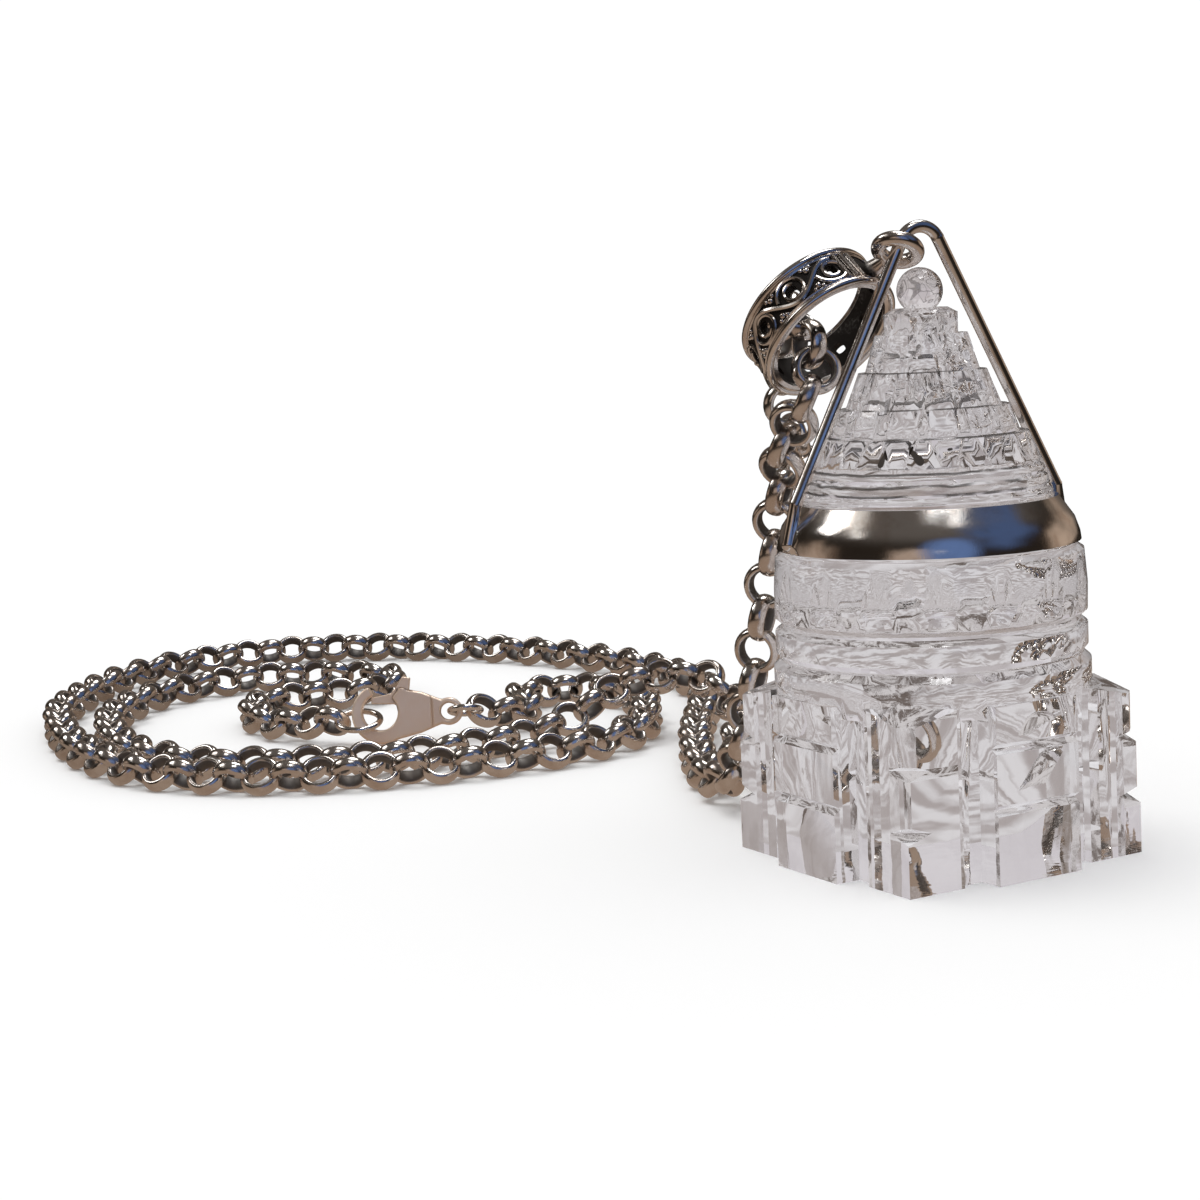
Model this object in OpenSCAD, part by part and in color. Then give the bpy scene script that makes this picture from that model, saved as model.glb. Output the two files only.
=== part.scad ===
// Stepped crystal pendant in a soldered silver harness, with its bail on a closed belcher chain.
// The crystal stands on its base and the chain lies behind it. Sizes are millimetres.

/* [Crystal base] */
// Distance from the axis to a side of the square base
side_r = 10.6; // [10.4:0.1:10.8]
// Distance from the axis to the face of the middle panel of a side
gate_r = 11.9; // [11.6:0.1:12.2]
// Width of the middle panel of a side
gate_w = 7.4; // [6.5:0.1:8]
// Width of the flat beside each corner
corner_w = 4.8; // [4.2:0.1:5.2]
// Depth of the recess between a corner and the middle panel
recess_d = 0.7; // [0.3:0.1:1]
// Height of the square base at its middle
base_h = 12.8; // [12.5:0.1:13.2]
// Turn of the square about the upright axis, in degrees
crystal_turn = 29.5; // [0:0.1:90]

/* [Crystal drum and peak] */
// Radius of the two plain rings and the petal ring
drum_r = 11.6; // [11.4:0.1:11.8]
// Number of petals round the drum
petals = 16; // [12:1:20]
// Number of tall triangles round the first cone
triangles = 14; // [10:1:16]
// Radius of the ball on the peak
ball_r = 1.7; // [1.4:0.1:1.8]

/* [Silver harness] */
// Thickness of the band's sheet
sheet_t = 0.5; // [0.4:0.05:0.7]
// Diameter of the wire loop
wire_d = 0.95; // [0.8:0.05:1.1]
// Angle of each leg of the loop from upright
leg_tilt = 26.1; // [26:0.1:26.3]
// Inner height where the two legs would meet
leg_apex = 48.43; // [48.4:0.01:48.6]
// Radius of the bend at the top of the loop
loop_bend = 1.6; // [1.5:0.1:1.8]

/* [Bail] */
// Outer radius of the bail's band, without its relief
bail_r = 5.35; // [5.2:0.05:5.5]
// Width of the bail's band
bail_w = 3.5; // [3.2:0.1:3.8]
// Thickness of the bail's band
bail_t = 0.7; // [0.6:0.05:0.8]
// Number of pierced gaps round the bail
pierced = 10; // [8:1:12]
// Radius of the ring that threads the wire, at the middle of its section
eye_r = 1.4; // [1.35:0.05:1.5]
// Radius of that ring's section
eye_wire = 0.46; // [0.4:0.02:0.5]

/* [Chain] */
// Outer diameter of a link
link_d = 3.95; // [3.8:0.05:4]
// Thickness of a link's wall
link_t = 0.48; // [0.4:0.02:0.5]
// Width of a link along its own axis
link_w = 0.95; // [0.8:0.05:1]

/* [Clasp] */
// Thickness of the clasp's body
clasp_t = 1.9; // [1.7:0.1:2]
// Outer radius of the claw
claw_r = 2.95; // [2.9:0.05:3]
// Radius of the lever's pin
pin_r = 0.4; // [0.35:0.05:0.45]
// How far the clasp leans back from upright, in degrees
clasp_lean = 9; // [0:1:15]

/* [Hidden] */
$fn = 48;
cut = 0.01;

// Heights of the crystal's steps above the surface it stands on
groove_low = 4.4;
groove_high = 8.8;
gate_rise = 0.95;
ring_split = 15.1;
petal_low = 17.6;
petal_top = 22.9;
band_low = 23.26;
band_top = 26.54;
cone_foot = 29.3;
peak_r = 2.7;
ball_z = 41.75;

// Outside of the band at its lower edge, its crown and its upper edge
band_low_r = 11.18;
band_mid_r = 10.62;
band_top_r = 9.6;
seat_gap = 0.06;

// The loop stands in a plane through the axis, turned by this angle
loop_turn = 18;
apex_shift = 0.15;
foot_bend_z = 26.8;
foot_end = [11.15, 23.95];

// One row for each tier of the peak: height of its foot, radius there, height of its rim,
// radius there, number of notches
tiers = [
    [31.3, 7.0, 33.3, 6.3, 14],
    [33.3, 5.7, 35.9, 4.7, 10],
    [35.9, 4.2, 38.6, 3.4, 8]];

function unit(v) = v / norm(v);
function flat_part(v, along) = v - (v * along) * along;

// Turns X, Y and Z onto the three given directions and moves the origin to p
module place(p, ex, ey, ez) {
    multmatrix([
        [ex.x, ey.x, ez.x, p.x],
        [ex.y, ey.y, ez.y, p.y],
        [ex.z, ey.z, ez.z, p.z],
        [0, 0, 0, 1]]) children();
}

// Copies its children round the upright axis
module around(count, start = 0) {
    for (i = [0:count - 1]) rotate([0, 0, start + i * 360 / count]) children();
}

// Straight V cut of the given length along X, with its sharp edge at the origin and open to -Y
module v_cut(length, wide, deep) {
    rotate([90, 0, 90]) linear_extrude(length, center = true)
        polygon([[0, 0], [-deep, wide / 2], [-deep, -wide / 2]]);
}

module base_plan() {
    difference() {
        square(2 * side_r, center = true);
        for (a = [0:90:270], s = [-1, 1])
            rotate(a) translate([side_r, s * (side_r - corner_w) - s * recess_w() / 2])
                square([2 * recess_d, recess_w()], center = true);
    }
    for (a = [0, 90]) rotate(a) square([2 * gate_r, gate_w], center = true);
}

// Width of the recess between the corner flat and the middle panel
function recess_w() = side_r - corner_w - gate_w / 2;

module base_block() {
    corner_r = side_r * sqrt(2);
    corner_cut = 1.45;
    difference() {
        linear_extrude(base_h) base_plan();
        // Wheel cuts across the corners, and thinner ones across the panels
        around(4, 45) for (z = [groove_low, groove_high])
            translate([corner_r - corner_cut, 0, z]) rotate([0, 0, 90]) v_cut(8, 2.0, 2.2);
        around(4) for (z = [groove_low, groove_high])
            translate([gate_r - 0.55, 0, z + gate_rise]) rotate([0, 0, 90]) v_cut(gate_w + 2, 1.1, 0.8);
        // The top falls away towards each corner, and the two upper corners step in
        around(4, 45) translate([drum_r, 0, base_h]) rotate([0, 17, 0]) translate([0, -9, 0]) cube([8, 18, 3]);
        around(4, 45) translate([corner_r - 0.65, -3, groove_high]) cube([2, 6, 6]);
        around(4, 45) translate([corner_r - 0.25, -3, groove_low]) cube([2, 6, 4.4]);
    }
}

module drum_turning() {
    ring_low = base_h + 0.1;
    rotate_extrude() polygon([
        [0, base_h - 1], [drum_r - 0.1, base_h - 1], [drum_r + 0.1, ring_low + 0.5],
        [drum_r + 0.1, ring_split - 0.6], [drum_r - 0.45, ring_split - 0.1], [drum_r - 0.45, ring_split + 0.1],
        [drum_r - 0.1, ring_split + 0.5], [drum_r - 0.1, petal_low - 0.5], [drum_r - 0.6, petal_low - 0.1],
        [drum_r - 0.6, petal_low + 0.15], [drum_r - 0.1, petal_low + 0.55], [drum_r - 0.05, petal_low + 2.5],
        [drum_r - 0.25, petal_top - 0.3], [drum_r - 0.7, petal_top], [band_low_r - sheet_t - seat_gap, band_low],
        [band_mid_r - sheet_t - seat_gap, (band_low + band_top) / 2],
        [band_top_r - sheet_t - seat_gap, band_top], [band_top_r - sheet_t - seat_gap, band_top + 0.2],
        [9.25, band_top + 0.35], [9.1, 27.05], [8.75, 27.25], [9.0, 27.5], [8.85, 28.05], [8.5, 28.25],
        [8.7, 28.5], [8.6, 28.8], [8.3, 28.95], [8.45, cone_foot], [7.6, tiers[0][0]], [0, tiers[0][0]]]);
}

module petal_cuts() {
    cutter_r = 2.3;
    cut_deep = 0.42;
    lean = 5.5;
    around(petals, 180 / petals)
        translate([drum_r + cutter_r - cut_deep, 0, petal_low + 2.1]) {
            rotate([0, lean, 0]) cylinder(h = petal_top - petal_low, r = cutter_r);
            sphere(cutter_r);
        }
}

// Two straight cuts that lean together make one tall triangle on the first cone
module triangle_cuts() {
    step = 360 / triangles;
    slope = atan((8.45 - 7.6) / (tiers[0][0] - cone_foot));
    around(triangles) for (s = [-1, 1])
        rotate([0, 0, s * step / 4]) translate([8.1, 0, (cone_foot + tiers[0][0]) / 2 + 0.2])
            rotate([0, -slope, 0]) rotate([s * 22, 0, 0]) translate([-0.38, 0, 0])
                rotate([0, 90, 90]) v_cut(2.1, 0.9, 0.9);
}

module tier_cone(row) {
    translate([0, 0, row[0] - cut]) cylinder(h = row[2] - row[0] + 2 * cut, r1 = row[1], r2 = row[3]);
}

module tier_notches(row) {
    around(row[4]) translate([row[3] - 0.25, 0, row[2]]) rotate([0, 62, 0])
        rotate([45, 0, 0]) cube([3.2, 0.72, 0.72], center = true);
}

module peak() {
    top = tiers[2][2];
    translate([0, 0, top - cut]) cylinder(h = 1.55, r = peak_r);
    translate([0, 0, top + 1.5]) cylinder(h = 0.4, r1 = peak_r, r2 = peak_r - 0.7);
    translate([0, 0, ball_z]) sphere(ball_r);
}

module crystal_meru() {
    color([0.86, 0.87, 0.9, 0.5]) rotate([0, 0, crystal_turn]) {
        difference() {
            union() {
                base_block();
                drum_turning();
                for (row = tiers) tier_cone(row);
                peak();
            }
            petal_cuts();
            triangle_cuts();
            for (row = tiers) tier_notches(row);
        }
    }
}

// Section of the band, domed on the outside
module band_section() {
    mid = (band_low + band_top) / 2;
    bulge = 0.12;
    polygon([
        [band_low_r - sheet_t, band_low], [band_low_r, band_low], [band_low_r - 0.08, band_low + 0.6],
        [band_mid_r + bulge, mid], [band_top_r + 0.25, band_top - 0.35], [band_top_r, band_top],
        [band_top_r - sheet_t, band_top], [band_mid_r - sheet_t, mid]]);
}

// One straight piece of round wire between two points of the loop's plane
module wire_run(a, b) {
    d = b - a;
    translate([a.x, 0, a.y]) rotate([0, 90 - atan2(d.y, d.x), 0]) cylinder(h = norm(d), d = wire_d);
    for (end = [a, b]) translate([end.x, 0, end.y]) sphere(d = wire_d + 0.03);
}

// Middle of the bend at the top, and a point of a leg's line at a given height
bend_z = leg_apex - loop_bend / sin(leg_tilt);
function leg_point(s, z) = [apex_shift + s * (leg_apex - z) * tan(leg_tilt), z];

module wire_loop() {
    rotate([0, 0, loop_turn]) {
        translate([apex_shift, 0, bend_z]) rotate([90, 0, 0])
            rotate_extrude(angle = 180 - 2 * leg_tilt, start = leg_tilt)
                translate([loop_bend, 0]) circle(d = wire_d);
        for (s = [-1, 1]) {
            knee = leg_point(s, foot_bend_z);
            wire_run(leg_point(s, bend_z + loop_bend * sin(leg_tilt)), knee);
            wire_run(knee, [s * foot_end.x, foot_end.y]);
        }
    }
}

module silver_harness() {
    color([0.72, 0.7, 0.68]) {
        rotate_extrude() band_section();
        wire_loop();
    }
}

// Direction of the left leg, and the point of it where the bail's ring hangs
hang_z = 44.75;
leg_dir = [cos(loop_turn) * sin(leg_tilt), sin(loop_turn) * sin(leg_tilt), cos(leg_tilt)];
hang_s = apex_shift - (leg_apex - hang_z) * tan(leg_tilt);
hang_at = [hang_s * cos(loop_turn), hang_s * sin(loop_turn), hang_z];

// Middle and axis of the bail's band, and the direction from there to its ring
bail_at = [-7.2, 2.7, 39.75];
bail_axis = unit([0.47, -0.59, -0.655]);
to_ring = unit(flat_part(hang_at - bail_at, bail_axis));
ring_side = cross(bail_axis, to_ring);
ring_axis = unit([0.22, 0.55, 0.8]);
ring_across = unit(cross(ring_axis, [0, 1, 0]));

// Raised scroll on the bail: an open ring lying on the band's outside
module scroll(radius) {
    rotate([0, 90, 0]) rotate_extrude(angle = 290, start = 20) translate([radius, 0]) circle(r = 0.2);
}

module bail_band() {
    rim = 0.3;
    step = 360 / pierced;
    difference() {
        rotate_extrude() translate([bail_r - bail_t, -bail_w / 2]) square([bail_t, bail_w]);
        for (i = [1:pierced - 1]) rotate([0, 0, i * step])
            translate([bail_r - bail_t - 0.5, 0, 0]) rotate([0, 90, 0]) cylinder(h = bail_t + 1, r = 0.52);
    }
    for (s = [-1, 1]) translate([0, 0, s * (bail_w / 2 - 0.12)])
        rotate_extrude() translate([bail_r + 0.02, 0]) circle(r = rim);
    for (i = [0:pierced - 1]) rotate([0, 0, (i + 0.5) * step]) translate([bail_r + 0.05, 0, 0]) {
        scroll(0.75);
        sphere(0.36);
    }
    for (i = [1:pierced - 1], s = [-1, 1]) rotate([0, 0, i * step])
        translate([bail_r + 0.02, 0, s * 0.95]) sphere(0.3);
}

module bail() {
    reach = hang_at - bail_at;
    lift = reach * bail_axis;
    neck_in = bail_at + (bail_r - 0.2) * to_ring + 0.4 * lift * bail_axis;
    neck_dir = unit(hang_at - neck_in);
    neck_len = norm(hang_at - neck_in) - eye_r;
    neck_x = unit(cross(neck_dir, [0, 0, 1]));
    color([0.6, 0.58, 0.56]) {
        place(bail_at, to_ring, ring_side, bail_axis) bail_band();
        place(neck_in, neck_x, cross(neck_dir, neck_x), neck_dir) cylinder(h = neck_len, r1 = 0.8, r2 = 0.5);
        place(hang_at, ring_across, cross(ring_axis, ring_across), ring_axis)
            rotate_extrude() translate([eye_r, 0]) circle(r = eye_wire);
    }
}

// Height of the chain's middle where its links lie on the surface, turned half a right angle
lie_z = (link_d / 2 - link_t / 2 + link_w / 2) / sqrt(2) + 0.02;

// The chain's way, in points chosen by eye: across, back, up. The first list leaves the clasp's
// eye, runs round the outer loop and rises to the bail. The second comes down from the bail and
// runs round the inner loop to the ring in the claw.
outer_way = [
    [-36.4, 55.9, 2.7], [-33.4, 58.2, 2.1], [-32.1, 62.2, 1.74], [-33.2, 67, 1.61], [-32.4, 71.5, lie_z],
    [-28.2, 73.6, lie_z], [-23.6, 70.8, lie_z], [-21.2, 65, lie_z], [-20.4, 57, lie_z], [-21.6, 48, lie_z],
    [-26.5, 41, lie_z], [-34, 36.7, lie_z], [-43, 34, lie_z], [-52, 33.2, lie_z], [-61, 35.5, lie_z],
    [-69, 41.5, lie_z], [-75.5, 52, lie_z], [-79.8, 64, lie_z], [-82, 75, lie_z], [-81.5, 87, lie_z],
    [-79, 98, lie_z], [-74, 106.5, lie_z], [-67, 111.5, lie_z], [-58.5, 113, lie_z], [-48.5, 111, lie_z],
    [-38, 106, lie_z], [-28, 97.5, lie_z], [-20, 86.5, lie_z], [-15.5, 76, lie_z], [-14, 65, lie_z],
    [-15.2, 53, lie_z], [-16.3, 41, lie_z], [-16.4, 30, 1.65], [-15.6, 22, 1.85], [-14.3, 16.2, 3.3],
    [-13.4, 12.8, 6.9], [-12.6, 11.4, 11.8], [-11.8, 10.2, 16.7], [-11, 9.2, 21.2], [-10.5, 8.2, 24.8],
    [-10.1, 6.3, 28.2], [-10, 3.5, 31], [-8.7, 1.2, 33.7], [-7.6, 1.5, 36.5], [-8.2, 3, 38.7]];
inner_way = [
    [-9.2, 5.3, 40.3], [-10, 8.1, 40.3], [-9.9, 10.3, 37.2], [-9, 11.4, 33], [-7.8, 12.4, 28],
    [-6.7, 13.6, 22], [-6, 14.6, 16], [-5.5, 15.8, 10.5], [-5.7, 17.4, 5.2], [-8, 20.8, 2.4],
    [-11, 25.6, 1.8], [-12.6, 31.5, 1.65], [-12.6, 38, 1.9], [-12.2, 44.4, 3.6], [-14.4, 49.6, 5.7],
    [-18.8, 52, 5.9], [-23.4, 51.6, 4.9], [-27.6, 49.4, 2.7], [-31.6, 46.6, 1.73], [-36.6, 43.4, 1.61],
    [-43.5, 40, lie_z], [-52, 38.8, lie_z], [-61, 41, lie_z], [-68.5, 47.5, lie_z], [-73, 57, lie_z],
    [-75.4, 68, lie_z], [-74.6, 79, lie_z], [-70.6, 87.4, lie_z], [-63.5, 91.9, lie_z], [-55.6, 91.6, lie_z],
    [-49.6, 88.4, lie_z], [-47.4, 83, lie_z], [-50.4, 78.4, lie_z], [-56, 77.2, lie_z],
    [-60.2, 73.6, lie_z], [-60.6, 67.2, lie_z], [-57.2, 60.2, 1.72], [-51.25, 55.6, 2.45]];
way = concat(outer_way, inner_way);

function bend(a, b, c, d, t) = 0.5 * (2 * b + (c - a) * t + (2 * a - 5 * b + 4 * c - d) * t * t
    + (3 * b - a - 3 * c + d) * t * t * t);
function at(way, i) = way[max(0, min(len(way) - 1, i))];
function smooth(way) = [
    for (i = [0:len(way) - 2], t = [0:0.125:0.9]) bend(at(way, i - 1), way[i], way[i + 1], at(way, i + 2), t),
    way[len(way) - 1]];
// Slack taken up by each radian of turn, so that the links stand closer where the chain bends
bend_slack = 0.8;
function stride(line, i) = norm(line[i + 1] - line[i]) + (i == 0 ? 0
    : bend_slack * norm(unit(line[i + 1] - line[i]) - unit(line[i] - line[i - 1])));
// Lengths along a smoothed way, one for each of its points
function run_lengths(line) = [
    for (i = 0, s = 0; i < len(line); s = s + (i + 1 < len(line) ? stride(line, i) : 0), i = i + 1) s];
function along(line, lengths, s) = [
    for (axis = [0:2]) lookup(s, [for (i = [0:len(line) - 1]) [lengths[i], line[i][axis]]])];
function spots(way, count) = let (line = smooth(way), lengths = run_lengths(line),
    whole = lengths[len(lengths) - 1]) [for (k = [0:count - 1]) along(line, lengths, k * whole / (count - 1))];
function heading(points, k) = unit(at(points, k + 1) - at(points, k - 1));
// Upward side of each link: carried on from the last one, and drawn back to upright where the chain lies
function uprights(points, first) = [
    for (k = 0, u = first; k < len(points); k = k + 1,
        u = k < len(points) ? unit(flat_part(u + [0, 0, 0.35], heading(points, k))) : u) u];

module link() {
    r_out = link_d / 2;
    r_in = r_out - link_t;
    rotate_extrude() polygon([
        [r_in, -0.2 * link_w], [(r_in + r_out) / 2, -link_w / 2], [r_out, -0.24 * link_w],
        [r_out, 0.24 * link_w], [(r_in + r_out) / 2, link_w / 2], [r_in, 0.2 * link_w]]);
}

// Number of links in the whole chain, and in its outer part up to the bail
link_count = 232;
outer_count = 134;
link_spots = spots(way, link_count);
link_ups = uprights(link_spots, [0, 0, 1]);

// Links from one number to another, turned by half a right angle to one side and to the other
module links(first, last) {
    for (k = [first:last]) {
        go = heading(link_spots, k);
        up = unit(flat_part(link_ups[k], go));
        side = cross(go, up);
        hole = unit(k % 2 == 0 ? up + side : up - side);
        place(link_spots[k], go, cross(hole, go), hole) link();
    }
}

module chain_outer() {
    color([0.66, 0.6, 0.56]) links(0, outer_count - 1);
}

module chain_inner() {
    color([0.66, 0.6, 0.56]) links(outer_count, link_count - 1);
}

// Plan of the clasp, seen on its flat side: the claw's middle, its hole, the eye and the lever's pin
claw_mid = [-2.3, claw_r];
hole_mid = [-2.5, claw_r + 0.15];
hole_r = 1.75;
eye_mid = [4.2, claw_r - 0.05];
eye_out = 1.35;
eye_hole = 0.8;
eye_t = 1.2;
pin_at = [-0.45, claw_r + 1.6];
lever_t = 1.1;
lever_gap = 0.1;
boss_r = 0.95;
clasp_at = [-43.9, 54.2];

// Stands the clasp on the claw's edge, its length across
module clasp_place() {
    lift = clasp_t / 2 * sin(clasp_lean) + 0.02;
    translate([clasp_at.x, clasp_at.y, lift]) rotate([90 - clasp_lean, 0, 0]) children();
}

module claw_plan() {
    gap_from = 50;
    gap_to = 112;
    reach = 6;
    difference() {
        union() {
            translate(claw_mid) circle(claw_r);
            translate(eye_mid) circle(eye_out);
            translate(pin_at) circle(boss_r);
            polygon([[-1, 0.35], [1.4, 0.9], [3.6, 1.75], [3.6, 4.05], [1.6, 4.9], [-0.2, 5.3]]);
        }
        translate(hole_mid) circle(hole_r);
        translate(eye_mid) circle(eye_hole);
        translate(hole_mid) polygon([[0, 0], reach * [cos(gap_from), sin(gap_from)],
            reach * [cos(gap_to), sin(gap_to)]]);
    }
}

module clasp_body() {
    slot = lever_t + 2 * lever_gap;
    color([0.68, 0.62, 0.57]) clasp_place() {
        difference() {
            linear_extrude(clasp_t, center = true) claw_plan();
            translate([pin_at.x, pin_at.y, 0]) {
                cylinder(h = slot, r = boss_r + 0.25, center = true);
                linear_extrude(slot, center = true) polygon([[0.2, 1.2], [-1.9, 1.2], [-1.9, -2.4], [-0.7, -1.1]]);
            }
            for (s = [-1, 1]) translate([eye_mid.x, eye_mid.y, s * (eye_t / 2 + 1)])
                cube([3.2, 3.2, 2], center = true);
        }
        translate([pin_at.x, pin_at.y, 0]) cylinder(h = clasp_t, r = pin_r, center = true);
    }
}

module clasp_lever() {
    bar = 2.85;
    color([0.7, 0.64, 0.6]) clasp_place() translate([pin_at.x, pin_at.y, 0])
        linear_extrude(lever_t, center = true) difference() {
            union() {
                circle(boss_r);
                polygon([[0, 0.5], [-bar, 0], [-bar, -0.6], [0, -0.75]]);
                polygon([[0.8, 0.4], [1.0, 1.8], [0.25, 1.95], [-0.5, 0.7]]);
            }
            circle(pin_r + 0.06);
        }
}

// Round ring lying across the clasp's plane, tipped by the given angle
module jump_ring(x, y, middle_r, tip) {
    wire_r = 0.3;
    color([0.7, 0.64, 0.6]) clasp_place() translate([x, y, 0]) rotate([90 + tip, 0, 0])
        rotate_extrude() translate([middle_r, 0]) circle(r = wire_r);
}

module clasp_ring() {
    ring_r = 1.5;
    jump_ring(eye_mid.x + 0.1 + ring_r, eye_mid.y, ring_r, -13);
}

module end_ring() {
    ring_r = 2.1;
    jump_ring(hole_mid.x - 0.05 - ring_r, hole_mid.y - 0.7, ring_r, 25);
}

crystal_meru();
silver_harness();
bail();
chain_outer();
chain_inner();
clasp_body();
clasp_lever();
clasp_ring();
end_ring();
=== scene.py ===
import math
import random

import bmesh
import bpy
import numpy as np
from mathutils import Matrix, Vector


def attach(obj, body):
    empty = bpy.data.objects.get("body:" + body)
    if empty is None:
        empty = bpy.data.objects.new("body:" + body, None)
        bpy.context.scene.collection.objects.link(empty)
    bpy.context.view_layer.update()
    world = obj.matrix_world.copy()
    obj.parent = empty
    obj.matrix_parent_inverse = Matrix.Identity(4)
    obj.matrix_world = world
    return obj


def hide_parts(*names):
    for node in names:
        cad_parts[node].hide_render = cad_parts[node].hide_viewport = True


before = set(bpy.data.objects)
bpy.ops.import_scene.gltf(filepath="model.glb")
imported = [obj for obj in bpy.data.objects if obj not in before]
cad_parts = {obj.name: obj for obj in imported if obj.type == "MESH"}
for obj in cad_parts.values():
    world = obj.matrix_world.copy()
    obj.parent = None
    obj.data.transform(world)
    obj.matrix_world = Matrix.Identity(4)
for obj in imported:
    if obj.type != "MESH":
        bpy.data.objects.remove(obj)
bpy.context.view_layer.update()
mm = 0.001


class Signal:  # one output of a node, whose sums and products add Math nodes
    def __init__(self, board, socket):
        self.board = board
        self.socket = socket

    def combine(self, operation, first, second):
        return self.board.add("Math", {"operation": operation}, {0: first, 1: second})

    def __add__(self, other):
        return self.combine("ADD", self, other)

    def __radd__(self, other):
        return self.combine("ADD", other, self)

    def __sub__(self, other):
        return self.combine("SUBTRACT", self, other)

    def __rsub__(self, other):
        return self.combine("SUBTRACT", other, self)

    def __mul__(self, other):
        return self.combine("MULTIPLY", self, other)

    def __rmul__(self, other):
        return self.combine("MULTIPLY", other, self)

    def size(self):  # without its sign
        return self.board.add("Math", {"operation": "ABSOLUTE"}, {0: self})

    def ramp(self, low, high):  # 0 below low, 1 above high, smooth between
        return self.board.add("MapRange", {"interpolation_type": "SMOOTHSTEP"},
                              {"Value": self, "From Min": low, "From Max": high})


class NodeBoard:  # the nodes of one material, or of the room
    def __init__(self, tree):
        self.tree = tree
        tree.nodes.clear()

    def add(self, kind, settings={}, sockets={}, output=0):
        node = self.tree.nodes.new("ShaderNode" + kind)
        for name, value in settings.items():
            setattr(node, name, value)
        for name, value in sockets.items():
            if isinstance(value, Signal):
                self.tree.links.new(value.socket, node.inputs[name])
            else:
                node.inputs[name].default_value = value
        return Signal(self, node.outputs[output]) if node.outputs else None

    def mix(self, share, first, second):  # from the first colour to the second
        return self.add("Mix", {"data_type": "RGBA"}, {0: share, 6: first, 7: second}, 2)

    def noise(self, place, scale, detail, roughness=0.55, distortion=0.0):
        return self.add("TexNoise", {}, {"Vector": place, "Scale": scale, "Detail": detail,
                                         "Roughness": roughness, "Distortion": distortion})

    def stretched(self, place, scale, turn):
        return self.add("Mapping", {}, {"Vector": place, "Scale": scale, "Rotation": turn})

    def bump(self, height, distance, under=None):
        sockets = {"Height": height, "Distance": distance, "Strength": 1.0}
        if under:
            sockets["Normal"] = under
        return self.add("Bump", {}, sockets)


def newFinish(name):
    material = bpy.data.materials.new(name)
    material.use_nodes = True
    return material, NodeBoard(material.node_tree)


def grey(value):
    return (value, value, value, 1)


# In the finishes, the size of a noise is in waves to a metre
silverPlan = {
    "clean": (0.86, 0.825, 0.79, 1),
    "worn": (0.70, 0.62, 0.56, 1),
    "warm": (0.96, 0.81, 0.68, 1),  # the clasp
    "warmWorn": (0.92, 0.72, 0.57, 1),
    "patchSize": 420,
    "grainSize": 5200,
    "scratchSize": (9000, 700, 2200),
    "scratchTurn": (0.4, 0.2, 0.7),
    "scratchDepth": 0.004 * mm,
    "scratchGrain": 0.5,  # the grain's share of that depth
    "dentSize": 260,
    "dentDepth": 0.03 * mm,
    "wearFrom": 0.42,
    "wearTo": 0.7,
    "wearDull": 0.2,  # how much sooner a dull metal looks worn
    "soot": (0.022, 0.017, 0.014, 1),
    "sootPatch": 0.5,  # how far patches and grain break the edge of the soot
    "sootGrain": 0.3,
    "sootEdge": (0.35, 0.75),
    "sootCover": 0.35,  # how far soot hides that this is metal
    # Roughness of the polished metal, and what the rest adds to it
    "polish": 0.07,
    "dullRough": 0.12,
    "wearRough": 0.09,
    "grainRough": 0.06,
    "sootRough": 0.45,
}


def silverFinish(name, dull=0.0, sooty=0.0, clean=silverPlan["clean"], worn=silverPlan["worn"], metallic=1.0):
    plan = silverPlan
    material, board = newFinish(name)
    place = board.add("TexCoord", output="Object")
    patches = board.noise(place, plan["patchSize"], detail=5)
    grain = board.noise(place, plan["grainSize"], detail=3, roughness=0.7)
    drawn = board.stretched(place, plan["scratchSize"], plan["scratchTurn"])
    scratches = board.noise(drawn, 1, detail=4, roughness=0.75)
    wear = patches.ramp(plan["wearFrom"] - dull * plan["wearDull"], plan["wearTo"])
    colour = board.mix(wear, clean, worn)
    roughness = plan["polish"] + dull * plan["dullRough"] + wear * plan["wearRough"]
    roughness = roughness + grain * plan["grainRough"]
    if sooty:
        hollow = board.add("Attribute", {"attribute_name": "hollow"}, output="Fac")
        soot = hollow + (patches - 0.5) * plan["sootPatch"] + (grain - 0.5) * plan["sootGrain"]
        soot = soot.ramp(*plan["sootEdge"]) * sooty
        colour = board.mix(soot, colour, plan["soot"])
        roughness = roughness + soot * plan["sootRough"]
        metallic = 1 - soot * plan["sootCover"]
    dents = board.bump(board.noise(place, plan["dentSize"], detail=2), plan["dentDepth"])
    normal = board.bump(scratches + grain * plan["scratchGrain"], plan["scratchDepth"], under=dents)
    shader = board.add("BsdfPrincipled", {}, {
        "Base Color": colour, "Roughness": roughness, "Metallic": metallic, "Normal": normal})
    board.add("OutputMaterial", {}, {"Surface": shader})
    return material


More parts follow.
